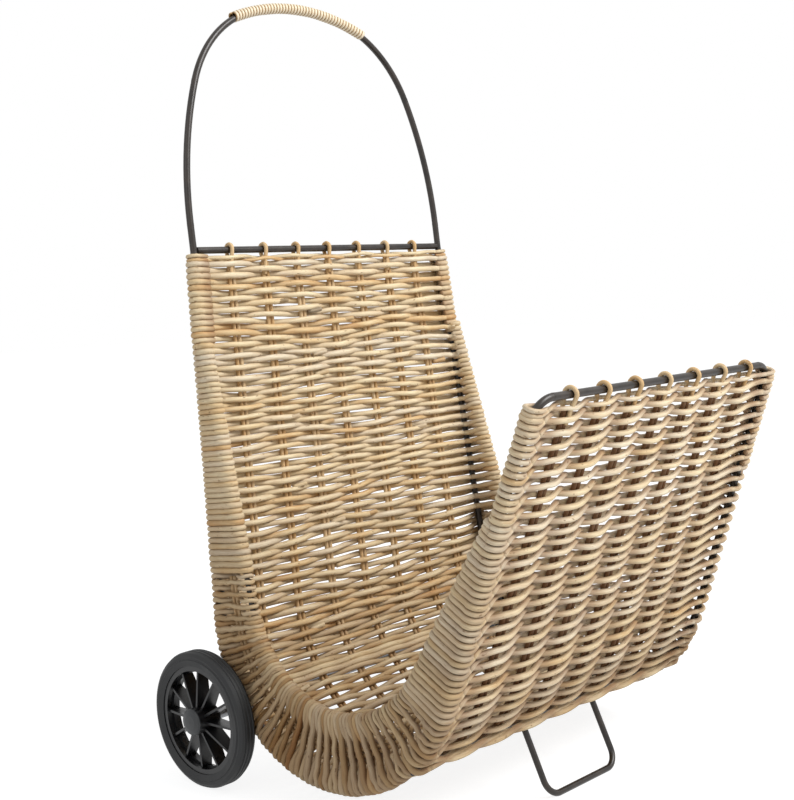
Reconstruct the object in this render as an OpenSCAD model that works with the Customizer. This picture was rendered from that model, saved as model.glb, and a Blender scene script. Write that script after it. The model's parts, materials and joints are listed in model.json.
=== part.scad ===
// Fireside log cart: a bent round-bar frame, a willow carrier woven on it,
// two spoked wheels on a plain axle, a wire leg and a cane-bound handle.
// X runs across the cart, the low front panel faces -Y, the handle rises at +Y, Z is up.

/* [Frame] */
// Distance between the two side rails at the back crossbar, centre to centre
frame_w = 420; // [400:1:430]
// How much each rail would stand further out at the floor than at the crossbar
flare = 31; // [24:1:33]
// Diameter of the round bar of the hoop and its cross rods
bar_d = 8; // [7:0.5:9]
// Height of the back crossbar above the floor
back_h = 600; // [570:1:630]
// Height of the front rail above the floor
front_h = 449; // [420:1:480]
// Height of the rails' lowest point above the floor, to the bar's centre
belly_h = 37; // [32:0.5:42]
// Radius of the bend at the bottom of the rails
belly_r = 172; // [166:1:178]
// Lean of the back from upright, in degrees
back_lean = 6.5; // [5:0.1:8]
// Lean of the front panel from upright, in degrees
front_lean = 19.5; // [17:0.5:22]
// Bend radius of the two front top corners
corner_r = 28; // [24:1:36]

/* [Handle] */
// Straight length of the bar above the crossbar before its first bend
arch_straight = 29.5; // [24:0.5:40]
// Radius of the long bend at each side of the arch
arch_side_r = 452; // [430:1:470]
// Angle of the long side bend, in degrees
arch_side_a = 21.6; // [20:0.1:23]
// Radius of the arch's two shoulders
arch_shoulder_r = 152.5; // [146:0.5:158]
// Angle of each shoulder, in degrees
arch_shoulder_a = 53.4; // [52:0.1:55]
// Turns of cane in the grip
grip_turns = 24; // [16:1:24]
// Pitch of the cane turns along the bar
grip_pitch = 9.3; // [8.4:0.1:9.6]
// Width of the cane
cane_w = 8.7; // [7:0.1:8.8]
// Thickness of the cane
cane_t = 2.2; // [1.6:0.1:2.6]

/* [Side gussets] */
// Diameter of the rod in the inner rim
rim_d = 6; // [5:0.5:7]
// Height of the rim rod's lowest point, to its centre
rim_belly_h = 106; // [100:1:112]
// Bend radius of the rim rod
rim_r = 136; // [130:1:140]
// Distance of the rim's bend centre in front of the rails' bend centre
rim_forward = 10; // [6:1:14]
// Lean of the rim rod at the back, in degrees
rim_back_lean = 15; // [14:0.5:17]
// Lean of the rim rod at the front, in degrees
rim_front_lean = 30; // [28:0.5:33]

/* [Weave] */
// Thickness of one weaver
strand = 5.4; // [4.6:0.1:5.6]
// Pitch of the rows along the carrier
row_pitch = 6.6; // [6.4:0.1:8]
// Pitch of the turns round the side rims
turn_pitch = 6.4; // [6.2:0.1:8]
// Number of stakes across the carrier
stakes = 7; // [6:1:8]
// Thickness of one stake rod
stake_t = 4.4; // [3.6:0.1:5]
// Spacing of the two rods of a stake
stake_gap = 5.6; // [5.4:0.1:7]
// Length of the twisted eye that ties a stake to its bar
eye_len = 14; // [13:0.5:15]
// Distance of the first and the last row from the bars they start at
first_row = 17; // [16:0.5:22]
// Free space between a strand and what it goes round
weave_gap = 0.3; // [0.25:0.05:0.6]

/* [Leg] */
// Diameter of the leg's wire
leg_d = 7; // [6:0.5:8]
// Distance between the two uprights of the leg
leg_w = 126; // [100:1:150]
// Lean of the leg, foot forward, in degrees
leg_lean = 25; // [20:1:30]
// Bend radius of the leg's corners
leg_r = 18; // [14:1:26]
// Place of the leg's cross rod round the belly, in degrees forward of straight down
leg_angle = 42; // [38:1:46]

/* [Wheels] */
// Diameter over the tyre
tyre_d = 154; // [148:1:158]
// Width of the tyre
tyre_w = 23; // [21:0.5:24]
// Diameter of the wheel's rim under the tyre
rim_seat_d = 122; // [116:1:126]
// Free space between the woven sides, where they are widest, and the wheels
wheel_gap = 0.75; // [0.75:0.25:6]
// Diameter of the axle
axle_d = 8; // [7:0.5:10]
// Distance of the axle behind the rails' centre line
axle_out = 48; // [44:1:54]
// Number of blade spokes
spokes = 12; // [8:1:16]
// Thickness of a blade spoke
spoke_t = 2.6; // [2:0.1:3.4]
// Diameter of the hub
hub_d = 30; // [24:0.5:32]
// Outside diameter of the hub's bush
bush_d = 12; // [11.5:0.5:14]
// How far the hub cap stands out of the tyre's side
cap_out = 10; // [6:0.5:12]
// Thickness of the axle's two bracket plates
plate_t = 4; // [3:0.5:5]
// Distance of the bracket plates inside the rails
plate_in = 35.5; // [30:0.5:44]

/* [Fits] */
// Gap between pieces that touch or are welded or pushed together
seat = 0.1; // [0.05:0.05:0.2]
// Radial running clearance of the wheel's bush on the axle
run = 0.06; // [0.03:0.01:0.1]

/* [Hidden] */
$fn = 64;

steel_colour = "#35322f";
willow_colour = "#c9a878";
stake_colour = "#9c7448";
cane_colour = "#e4cfa6";
plastic_colour = "#141516";
rubber_colour = "#2c2e30";
zinc_colour = "#9a9ca0";

half_w = frame_w / 2;
bar_r = bar_d / 2;

// ---- U-shaped paths in the side view -------------------------------------------------
// A path is a straight back, one round bend and a straight front, met tangentially:
// [bend y, bend z, bend radius, back lean, front lean, back top z, front top z].
rail = [0, belly_h + belly_r, belly_r, back_lean, front_lean, back_h, front_h];
// The rim rod's straights run on until they touch the side of the rail.
// side is 1 for the back and -1 for the front, a the rail's lean and b the rim's
function rim_top(side, a, b) =
    let (foot = [-rim_forward + side * rim_r * cos(b), rim_belly_h + rim_r - rim_r * sin(b)])
    let (inside = belly_r - side * foot[0] * cos(a) + (foot[1] - belly_h - belly_r) * sin(a))
    foot[1] + (inside - bar_r - rim_d / 2 - seat) / sin(b - a) * cos(b);
rim = [-rim_forward, rim_belly_h + rim_r, rim_r, rim_back_lean, rim_front_lean,
    rim_top(1, back_lean, rim_back_lean), rim_top(-1, front_lean, rim_front_lean)];

function back_len(u) = (u[5] - u[1] + u[2] * sin(u[3])) / cos(u[3]);
function bend_len(u) = u[2] * (180 - u[3] - u[4]) * PI / 180;
function front_len(u) = (u[6] - u[1] + u[2] * sin(u[4])) / cos(u[4]);
function path_len(u) = back_len(u) + bend_len(u) + front_len(u);
// Direction of the outward normal at distance s from the back's top, in degrees
function out_angle(u, s) =
    -u[3] - max(0, min(s - back_len(u), bend_len(u))) / u[2] * 180 / PI;
function along(p, a, d) = [p[0] + d * cos(a), p[1] + d * sin(a)];
function on_path(u, s) =
    let (a = out_angle(u, s), before = min(s - back_len(u), 0))
    let (after = max(s - back_len(u) - bend_len(u), 0))
    along(along([u[0], u[1]], a, u[2]), a - 90, before + after);
// Distance along path u of its point nearest to p
function nearest(u, p) =
    let (d = [p[0] - u[0], p[1] - u[1]])
    let (above_back = d[0] * sin(u[3]) + d[1] * cos(u[3]))
    let (above_front = -d[0] * sin(u[4]) + d[1] * cos(u[4]))
    above_back > 0 && d[0] > 0 ? back_len(u) - above_back
    : above_front > 0 ? back_len(u) + bend_len(u) + above_front
    : back_len(u) + (-u[3] - atan2(d[1], d[0])) * u[2] * PI / 180;

rail_len = path_len(rail);
rim_len = path_len(rim);

// The two sides lean out from the crossbar down. A side is drawn flat and then turned about
// the crossbar's end, and real() gives the height a point of it comes to.
flare_a = atan(flare / back_h);
function real_at(p, a) = [p[0], back_h - (back_h - p[1]) * cos(flare_a) / cos(a)];
function real(p) = real_at(p, 0);
// half width of the frame at distance s down the rails
function rail_w(s) = half_w + (back_h - on_path(rail, s)[1]) * sin(flare_a);
module turned(x, a) {
    translate([x, 0, back_h]) rotate([0, -a, 0]) translate([0, 0, -back_h]) children();
}
module on_side(side) {
    in_frame() turned(side * half_w, side * flare_a) children();
}

// Arch of the handle in the plane of the back: a straight foot, a long side bend, a
// shoulder and a crown, then the same the other way. Headings start at 90, straight up.
arch_turn = 90 - arch_side_a;
arch_fall = arch_turn - arch_shoulder_a;
arch_side_c = [-half_w + arch_side_r, arch_straight];
function bend_at(c, r, heading) = [c[0] - r * sin(heading), c[1] + r * cos(heading)];
arch_p1 = bend_at(arch_side_c, arch_side_r, arch_turn);
arch_shoulder_c = arch_p1 + arch_shoulder_r * [sin(arch_turn), -cos(arch_turn)];
arch_p2 = bend_at(arch_shoulder_c, arch_shoulder_r, arch_fall);
arch_crown_r = -arch_p2[0] / sin(arch_fall);
arch_crown_c = [0, arch_p2[1] - arch_crown_r * cos(arch_fall)];
arch_d1 = arch_straight + arch_side_r * arch_side_a * PI / 180;
arch_d2 = arch_d1 + arch_shoulder_r * arch_shoulder_a * PI / 180;
arch_len = 2 * (arch_d2 + arch_crown_r * arch_fall * PI / 180);
// Radius of the bar's centre to the inside of the cane bound on it
cane_inner = bar_r + seat + 0.2;

// The axle's centre, and the whole depth that centres the cart on its origin
axle_rise = rail[1] - tyre_d / 2;
axle_yz = [sqrt(pow(belly_r + axle_out, 2) - axle_rise * axle_rise), tyre_d / 2];
axle_angle = atan2(axle_yz[0], axle_rise);
crown_reach = on_path(rail, 0)[0] + (arch_crown_c[1] + arch_crown_r) * sin(back_lean) + cane_inner + cane_t;
back_reach = max(axle_yz[0] + tyre_d / 2, crown_reach);
front_reach = on_path(rail, rail_len)[0] - bar_r - weave_gap - stake_t;
shift_y = -(back_reach + front_reach) / 2;

// Puts a child drawn in the rails' own side view into the cart's frame
module in_frame() {
    translate([0, shift_y, 0]) children();
}

// Local frame at distance s down a path: x across, y outward, z back up the path
module at(u, s) {
    p = on_path(u, s);
    translate([0, p[0], p[1]]) rotate([out_angle(u, s), 0, 0]) children();
}
// The same on the carrier between the two leaning sides
module across(s) {
    p = real(on_path(rail, s));
    translate([0, p[0], p[1]]) rotate([out_angle(rail, s), 0, 0]) children();
}

// Round bar from a to b, both in three dimensions, lying in a plane of constant x
module bar_yz(x, a, b, d) {
    v = b - a;
    translate([x, a[0], a[1]])
        rotate([-atan2(v[0], v[1]), 0, 0])
            cylinder(h = norm(v), d = d);
}

// A bar's straight and bent lengths are drawn apart by this much and joined in a short
// sleeve that stands out of the bar by as much, so that the two always meet soundly
butt = 0.1;
module butt_sleeve(d) {
    cylinder(h = 30 * butt, d = d + 2 * butt, center = true);
}
// Round bar bent along path u between distances s0 and s1
module bent_bar(u, x, d, s0, s1) {
    b0 = back_len(u);
    b1 = b0 + bend_len(u);
    union() {
        bar_yz(x, on_path(u, b0 - butt), on_path(u, s0), d);
        for (s = [b0, b1]) translate([x, 0, 0]) at(u, s) butt_sleeve(d);
        translate([x, u[0], u[1]])
            rotate([0, 90, 0])
                rotate([0, 0, u[4] - 90])
                    rotate_extrude(angle = 180 - u[3] - u[4])
                        translate([u[2], 0]) circle(d = d);
        bar_yz(x, on_path(u, b1 + butt), on_path(u, s1), d);
    }
}

// ---- Steel frame ---------------------------------------------------------------------
// The front corners turn from the leaning rails into the level top rail
corner_a = atan(tan(flare_a) * cos(front_lean));
corner_leg = corner_r * tan((90 - corner_a) / 2);
rail_top = rail_len - corner_leg;

module side_rail(side) {
    color(steel_colour) on_side(side) bent_bar(rail, 0, bar_d, 0, rail_top);
}

module rim_rod(side) {
    color(steel_colour) on_side(side) bent_bar(rim, 0, rim_d, 0, rim_len);
}

// Top rail of the front panel with its two round corners, in the panel's own plane
module front_rail() {
    span = rail_w(rail_len) - corner_leg;
    gap = butt / corner_r * 180 / PI;
    color(steel_colour) in_frame() across(rail_len) rotate([180, 0, 0]) union() {
        translate([-span, 0, 0]) rotate([0, 90, 0]) cylinder(h = 2 * span, d = bar_d);
        for (side = [0, 1]) mirror([side, 0, 0]) translate([span, 0, 0]) {
            translate([0, 0, -corner_r]) rotate([90, 0, 0]) rotate([0, 0, corner_a])
                rotate_extrude(angle = 90 - corner_a - gap)
                    translate([corner_r, 0]) circle(d = bar_d);
            rotate([0, 90, 0]) butt_sleeve(bar_d);
        }
    }
}

module back_crossbar() {
    reach = half_w - bar_r - seat;
    color(steel_colour) in_frame() across(0)
        translate([-reach, 0, 0]) rotate([0, 90, 0]) cylinder(h = 2 * reach, d = bar_d);
}

// Heading of the arch at distance d from its left foot
function arch_heading(d) =
    d > arch_len / 2 ? -arch_heading(arch_len - d)
    : d < arch_straight ? 90
    : d < arch_d1 ? 90 - (d - arch_straight) / arch_side_r * 180 / PI
    : d < arch_d2 ? arch_turn - (d - arch_d1) / arch_shoulder_r * 180 / PI
    : arch_fall - (d - arch_d2) / arch_crown_r * 180 / PI;
// Point of the arch at distance d, across and up
function arch_point(d) =
    let (h = arch_heading(d))
    d > arch_len / 2 ? let (p = arch_point(arch_len - d)) [-p[0], p[1]]
    : d < arch_straight ? [-half_w, d]
    : d < arch_d1 ? bend_at(arch_side_c, arch_side_r, h)
    : d < arch_d2 ? bend_at(arch_shoulder_c, arch_shoulder_r, h)
    : bend_at(arch_crown_c, arch_crown_r, h);

// Bend of round bar in the arch's plane between two angles, with a sleeve at its end
module arch_bend(c, r, from, to) {
    gap = butt / r * 180 / PI;
    translate([c[0], 0, c[1]]) rotate([90, 0, 0]) {
        rotate([0, 0, from + gap])
            rotate_extrude(angle = to - from - 2 * gap) translate([r, 0]) circle(d = bar_d);
        rotate([0, 0, to]) translate([r, 0, 0]) rotate([90, 0, 0]) butt_sleeve(bar_d);
    }
}
module handle_arch() {
    foot = seat + bar_r * sin(flare_a);
    color(steel_colour) in_frame() across(0) union() {
        arch_bend(arch_crown_c, arch_crown_r, 90 - arch_fall, 90 + arch_fall);
        translate([-arch_p2[0], 0, arch_p2[1]]) rotate([0, 90 + arch_fall, 0]) butt_sleeve(bar_d);
        for (side = [0, 1]) mirror([side, 0, 0]) {
            translate([-half_w, 0, foot]) cylinder(h = arch_straight - foot, d = bar_d);
            arch_bend(arch_side_c, arch_side_r, arch_turn + 90, 180);
            arch_bend(arch_shoulder_c, arch_shoulder_r, arch_fall + 90, arch_turn + 90);
        }
    }
}

// Closed tube from rings of equal size
module tube_of(rings) {
    n = len(rings);
    k = len(rings[0]);
    polyhedron(
        points = [for (r = rings) each r],
        faces = concat(
            [[for (j = [k - 1 : -1 : 0]) j]],
            [for (i = [0 : n - 2], j = [0 : k - 1], half = [0, 1])
                let (a = i * k + j, b = i * k + (j + 1) % k)
                half == 0 ? [a, b, b + k] : [a, b + k, a + k]],
            [[for (j = [0 : k - 1]) (n - 1) * k + j]]));
}

// Point off the arch's bar: d along it, r away from its centre at angle q round it
function arch_offset(d, r, q) =
    let (p = arch_point(d), h = arch_heading(d))
    [p[0] - r * cos(q) * sin(h), r * sin(q), p[1] + r * cos(q) * cos(h)];

// ---- Grip ----------------------------------------------------------------------------
// One cane wound on the crown of the arch: a flat strip of six sides in a helix
grip_start = (arch_len - grip_turns * grip_pitch) / 2;
cane_ring = 24;
// Section of the cane: along the bar and away from it, as shares of its width and thickness
cane_section = [[-0.5, 0], [-0.5, 0.55], [-0.22, 1], [0.22, 1], [0.5, 0.55], [0.5, 0]];

module grip_binding() {
    last = grip_turns * cane_ring;
    rings = [for (i = [0 : last])
        let (d = grip_start + grip_pitch * i / cane_ring, q = 360 * i / cane_ring)
        [for (c = cane_section) arch_offset(d + c[0] * cane_w, cane_inner + c[1] * cane_t, q)]];
    // least gap between one turn and the next, measured on the points of their flanks
    gaps = [for (i = [0 : last - cane_ring])
        norm(rings[i + cane_ring][0] - rings[i][5])];
    echo(least_gap_in_grip = min(gaps));
    color(cane_colour) in_frame() across(0) tube_of([for (r = rings) [for (k = [5 : -1 : 0]) r[k]]]);
}

// ---- Cross rods, leg and axle --------------------------------------------------------
// Rods cross under the rails and are welded there, outside the weave
rod_out = bar_d + seat;
// reach of the weave beyond a rail's centre
edge_out = bar_r + weave_gap + strand;
rows = floor((rail_len - 2 * first_row) / row_pitch);
function row_at(i) = first_row + (rail_len - 2 * first_row) * i / rows;
function row_near(s) = round((s - first_row) * rows / (rail_len - 2 * first_row));
// distance along the rail of a place that lies so many degrees behind straight down
function belly_at(deg) = back_len(rail) + (90 - deg - back_lean) * belly_r * PI / 180;
axle_row = row_near(belly_at(axle_angle));
leg_row = row_near(belly_at(-leg_angle));

module cross_rod(row) {
    reach = rail_w(row_at(row)) + bar_r;
    color(steel_colour) in_frame() across(row_at(row))
        translate([-reach, rod_out, 0]) rotate([0, 90, 0]) cylinder(h = 2 * reach, d = bar_d);
}

function rod_yz(row) =
    along(real(on_path(rail, row_at(row))), out_angle(rail, row_at(row)), rod_out);

// Wire leg: two uprights from the cross rod down to a foot bar on the floor
module leg_loop() {
    top = rod_yz(leg_row);
    drop = (top[1] - leg_d / 2) / cos(leg_lean);
    span = leg_w / 2 - leg_r;
    // the uprights end on the rod's surface
    stop = bar_r + seat;
    color(steel_colour) in_frame()
        translate([0, top[0], top[1]]) rotate([-leg_lean, 0, 0]) union() {
            translate([-span, 0, -drop]) rotate([0, 90, 0]) cylinder(h = 2 * span, d = leg_d);
            for (side = [-1, 1]) {
                translate([side * span, 0, leg_r - drop])
                    rotate([90, 0, 0])
                        rotate([0, 0, side > 0 ? -90 : 180])
                            rotate_extrude(angle = 90) translate([leg_r, 0]) circle(d = leg_d);
                translate([side * leg_w / 2, 0, leg_r - drop])
                    cylinder(h = drop - leg_r - stop, d = leg_d);
            }
        }
}

// Bracket plate: a flat bar with round ends, drilled for the cross rod and the axle
plate_w = 17;
module axle_bracket(side) {
    rod = rod_yz(axle_row);
    v = axle_yz - rod;
    reach = norm(v);
    color(steel_colour) in_frame()
        translate([side * plate_x - plate_t / 2, rod[0], rod[1]])
            rotate([90 - atan2(v[0], v[1]), 0, 0]) rotate([0, 90, 0])
                linear_extrude(plate_t) difference() {
                    union() {
                        circle(d = plate_w);
                        translate([0, reach]) circle(d = plate_w);
                        translate([-plate_w / 2, 0]) square([plate_w, reach]);
                    }
                    circle(d = bar_d + 2 * seat);
                    translate([0, reach]) circle(d = axle_d + 2 * seat);
                }
}

// Everything on the axle is drawn round the x axis and then carried to the axle
module on_axle(side) {
    in_frame() translate([0, axle_yz[0], tyre_d / 2]) mirror([side < 0 ? 1 : 0, 0, 0]) children();
}
// A ring round the x axis from x = a to x = b
module ring(a, b, outer, inner) {
    translate([a, 0, 0]) rotate([0, 90, 0]) difference() {
        cylinder(h = b - a, d = outer);
        translate([0, 0, -1]) cylinder(h = b - a + 2, d = inner);
    }
}

washer_t = 1.5;
nut_t = 1.2;
plate_x = rail_w(row_at(axle_row)) - plate_in;
wheel_x = rail_w(belly_at(0)) + edge_out + wheel_gap + tyre_w / 2;
hub_in = wheel_x - tyre_w / 2;
face_x = wheel_x + tyre_w / 2;
hub_out = face_x + cap_out - 5;
nut_x = hub_out - 7;
bush_end = nut_x - 0.6;
axle_end = nut_x + nut_t + 2;
washer_x = hub_in - washer_t - 0.3;

module axle() {
    color(zinc_colour) in_frame() translate([-axle_end, axle_yz[0], tyre_d / 2])
        rotate([0, 90, 0]) cylinder(h = 2 * axle_end, d = axle_d);
}
module spacer(side) {
    color(zinc_colour) on_axle(side)
        ring(plate_x + plate_t / 2 + seat, washer_x - seat, axle_d + 4, axle_d + 2 * seat);
}
module washer(side) {
    color(zinc_colour) on_axle(side) ring(washer_x, washer_x + washer_t, axle_d + 9, axle_d + 2 * seat);
}
module push_nut(side) {
    color(zinc_colour) on_axle(side) ring(nut_x, nut_x + nut_t, axle_d + 6, axle_d + 2 * seat);
}
module bush(side) {
    color("#d8d6cf") on_axle(side) ring(hub_in, bush_end, bush_d, axle_d + 2 * run);
}

// ---- Wheels --------------------------------------------------------------------------
rim_in_r = rim_seat_d / 2 - 5.5;
// Tyre: flat tread with three shallow grooves, stepped side wall
module tyre(side) {
    r0 = rim_seat_d / 2 + seat;
    r1 = tyre_d / 2;
    hw = tyre_w / 2;
    tread = hw - 4;
    step_r = r0 + (r1 - r0) * 0.42;
    groove = 1.1;
    color(rubber_colour) on_axle(side) translate([wheel_x, 0, 0]) rotate([0, 90, 0])
        rotate_extrude() polygon(concat(
            [[r0, -hw + 1.5], [step_r, -hw], [step_r + 1, -hw + 1], [r1 - 5, -hw + 0.6], [r1 - 1.4, -tread - 1.5]],
            [for (g = [-1 : 1], k = [0 : 3])
                let (z = g * tread * 0.62)
                [[r1, z - 1.4], [r1 - groove, z - 0.6], [r1 - groove, z + 0.6], [r1, z + 1.4]][k]],
            [[r1 - 1.4, tread + 1.5], [r1 - 5, hw - 0.6], [step_r + 1, hw - 1], [step_r, hw], [r0, hw - 1.5]]));
}

// Wheel: rim, deep fan of blades and a hub bored for the bush
module wheel(side) {
    hw = tyre_w / 2;
    recess = 5;
    well = hub_out - nut_x + 1.2;
    color(plastic_colour) on_axle(side) difference() {
        union() {
            ring(wheel_x - hw + 2.5, wheel_x + hw - 2.5, rim_seat_d, 2 * rim_in_r);
            ring(wheel_x - 1.5, wheel_x + 1.5, 2 * rim_in_r + 1, 2 * rim_in_r - 5);
            translate([hub_in, 0, 0]) rotate([0, 90, 0]) cylinder(h = hub_out - hub_in, d = hub_d);
            for (i = [0 : spokes - 1])
                rotate([360 * i / spokes, 0, 0])
                    translate([wheel_x, 0, 0]) rotate([0, 90, 0]) rotate([0, 0, 90])
                        rotate([90, 0, 0]) linear_extrude(spoke_t, center = true) polygon([
                            [hub_d / 2 - 1.5, -hw + 2], [rim_in_r + 1, -hw + recess],
                            [rim_in_r + 1, hw - recess], [hub_d / 2 - 1.5, hw - 1]]);
        }
        translate([hub_in - 1, 0, 0]) rotate([0, 90, 0])
            cylinder(h = hub_out - hub_in + 2, d = bush_d + 2 * seat);
        translate([nut_x - 1.2, 0, 0]) rotate([0, 90, 0]) cylinder(h = well + 1, d = axle_d + 9);
    }
}

// Hub cap: a shallow domed plug that closes the hub over the push nut
module hub_cap(side) {
    plug_r = (axle_d + 9) / 2 - seat;
    brim_r = hub_d / 2;
    rise = 5;
    color("#3a3d3f") on_axle(side) translate([hub_out + seat, 0, 0]) rotate([0, 90, 0])
        rotate_extrude() polygon([[0, rise], [brim_r * 0.55, rise - 0.5], [brim_r - 1.6, rise - 1.8], [brim_r, rise - 3.6],
            [brim_r, 0], [plug_r, 0], [plug_r, -1.6], [0, -1.6]]);
}

// ---- Willow carrier ------------------------------------------------------------------
// a stake's place across the frame, as a share of the half width
function stake_share(j) = 2 * j / (stakes + 1) - 1;
// how far a weaver's middle lies from the stakes' plane where it passes a stake or a rail
stake_off = stake_t / 2 + weave_gap + strand / 2;
rail_off = bar_r + weave_gap + strand / 2;
stake_flat = (stake_gap + stake_t) / 2 + stake_t / 4;
rail_flat = edge_out + strand / 7;
// half width of the frame at distance s, drawn in along the front corners
function rail_x(s) =
    let (up = s - rail_top)
    up <= 0 ? rail_w(s) : rail_w(s) - corner_r + sqrt(max(0, corner_r * corner_r - up * up));

// rim turns reach the rails between these two places
turns = floor(rim_len / turn_pitch);
function turn_foot(k) = nearest(rail, on_path(rim, rim_len * k / turns));
function turn_span(k) = norm(on_path(rim, rim_len * k / turns) - on_path(rail, turn_foot(k)));
shortest_turn = 1.5 * rim_d;
turn_list = [for (k = [1 : turns - 1]) if (turn_span(k) >= shortest_turn) k];
gusset_start = nearest(rail, on_path(rim, 0));
gusset_end = nearest(rail, on_path(rim, rim_len));

// Centre line of row i across the carrier, as [x, offset] pairs.
// Rows at a cross rod stay inside it, and all others pass the stakes in turn.
function pass(i, j) =
    abs(i - axle_row) < 2 || abs(i - leg_row) < 2 ? -1 : (i + j) % 2 == 0 ? 1 : -1;
function in_gusset(s) = s > gusset_start - shortest_turn && s < gusset_end + shortest_turn;
function row_line(i) =
    let (s = row_at(i), w = rail_x(s), full = rail_w(s), last = stakes + 1)
    let (out_end = w + edge_out, in_end = in_gusset(s) ? w - edge_out - 2 * weave_gap : w + edge_out)
    let (left = pass(i, 0), right = pass(i, last))
    concat(
        left > 0 ? [[-out_end, rail_off], [-w + rail_flat, rail_off]]
            : in_gusset(s) ? [[-in_end, -stake_off]] : [[-in_end, -rail_off], [-w + rail_flat, -rail_off]],
        [for (j = [1 : stakes], e = [-1, 1]) [stake_share(j) * full + e * stake_flat, pass(i, j) * stake_off]],
        right > 0 ? [[w - rail_flat, rail_off], [out_end, rail_off]]
            : in_gusset(s) ? [[in_end, -stake_off]] : [[w - rail_flat, -rail_off], [in_end, -rail_off]]);
// outline of the strand: the line thickened both ways
function row_outline(i) =
    let (line = row_line(i), n = len(line))
    concat([for (p = line) [p[0], p[1] + strand / 2]],
        [for (k = [n - 1 : -1 : 0]) [line[k][0], line[k][1] - strand / 2]]);

module row(i) {
    s = row_at(i);
    w = rail_x(s);
    across(s) linear_extrude(strand, center = true) union() {
        polygon(row_outline(i));
        // beyond the gussets each row turns round the bare rail
        if (!in_gusset(s) && s < rail_top - strand)
            for (x = [-w - edge_out, w + edge_out - strand])
                translate([x, -rail_off - strand / 2]) square([strand, 2 * rail_off + strand]);
    }
}
module weavers(from, to) {
    color(willow_colour) in_frame() for (i = [from : to]) row(i);
}
module back_weavers() { weavers(0, axle_row - 2); }
module bottom_weavers() { weavers(axle_row - 1, leg_row + 1); }
module front_weavers() { weavers(leg_row + 2, rows); }

// Strip of width w along a line of points in the side view
function strip(p, w) =
    let (n = len(p))
    let (side = [for (i = [0 : n - 1])
        let (v = p[min(i + 1, n - 1)] - p[max(i - 1, 0)]) [-v[1], v[0]] / norm(v) * w / 2])
    concat([for (i = [0 : n - 1]) p[i] + side[i]], [for (i = [n - 1 : -1 : 0]) p[i] - side[i]]);
// Draws a side-view outline and gives it a thickness across the cart, centred on x
module side_plate(x, thick) {
    translate([x - thick / 2, 0, 0]) rotate([90, 0, 90]) linear_extrude(thick) children();
}

// Eye of a stake round a bar: up one tangent, over the bar and down the other
eye_r = bar_r + weave_gap + stake_t / 2;
eye_lean = asin(eye_r / eye_len);
eye_side = sqrt(eye_len * eye_len - eye_r * eye_r);
eye_tail = 1.25 * stake_t;
function eye(centre, up) = concat(
    [for (q = [-eye_lean : 18 : 180 + eye_lean]) along(centre, up - 90 + q, eye_r)],
    [along(centre, up - 90 + 180 + eye_lean, eye_r)
        + (eye_side - eye_tail) * [cos(up + 180 + eye_lean), sin(up + 180 + eye_lean)]]);
bend_steps = 22;
function stake_line(margin) = concat(
    [on_path(rail, margin)],
    [for (k = [0 : bend_steps]) on_path(rail, back_len(rail) + bend_len(rail) * k / bend_steps)],
    [on_path(rail, rail_len - margin)]);
function reversed(v) = [for (k = [len(v) - 1 : -1 : 0]) v[k]];

module stake(j) {
    plain = stake_line(eye_len + stake_t / 2);
    tied = concat(
        reversed(eye(on_path(rail, 0), 90 - back_lean)),
        stake_line(eye_len),
        eye(on_path(rail, rail_len), 90 + front_lean));
    share = stake_share(j);
    a = atan(share * tan(flare_a));
    function up(v) = [for (p = v) real_at(p, a)];
    color(stake_colour) in_frame() turned(share * half_w, a) {
        side_plate(-stake_gap / 2, stake_t) polygon(strip(up(tied), stake_t));
        side_plate(stake_gap / 2, stake_t) polygon(strip(up(plain), stake_t));
    }
}

// Greatest angle between the rim rod and the rail it runs beside
askew = asin(norm([rim[0] - rail[0], rim[1] - rail[1]]) / rim_r);
// Turn k of the side gusset: out along one face, round the rim rod and back on the other
module side_turn(k) {
    foot = on_path(rail, turn_foot(k));
    v = on_path(rim, rim_len * k / turns) - foot;
    d = norm(v);
    near = bar_r + weave_gap;
    // the rim rod crosses a turn askew, and the turn's round end has flats
    far = (rim_d / 2 + weave_gap + strand / 2 * tan(askew)) / cos(22.5);
    start = -bar_r;
    // round end of the turn, at radius r about the rim rod
    function end(r) = [for (q = [0 : 45 : 180]) [r * cos(q), d + r * sin(q)]];
    outline = concat(
        [[near + strand, start]], end(far + strand), [[-near - strand, start], [-near, start]],
        reversed(end(far)), [[near, start]]);
    translate([0, foot[0], foot[1]])
        rotate([atan2(v[1], v[0]), 0, 0])
            linear_extrude(strand, center = true) polygon(outline);
}
module side_weavers(side) {
    color(willow_colour) on_side(side) for (k = turn_list) side_turn(k);
}

// Stake of the gusset: a bundle half way between rail and rim, where the gusset is wide
widest_free = 8.5 * strand;
module side_stake(side) {
    wide = [for (k = turn_list) if (turn_span(k) > widest_free) k];
    mid = [for (k = wide)
        (on_path(rail, turn_foot(k)) + on_path(rim, rim_len * k / turns)) / 2];
    thin = [for (i = [0 : 3 : len(mid) - 1]) mid[i]];
    color(stake_colour) on_side(side)
        side_plate(0, bar_d) polygon(strip(thin, 2 * stake_t));
}

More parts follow.
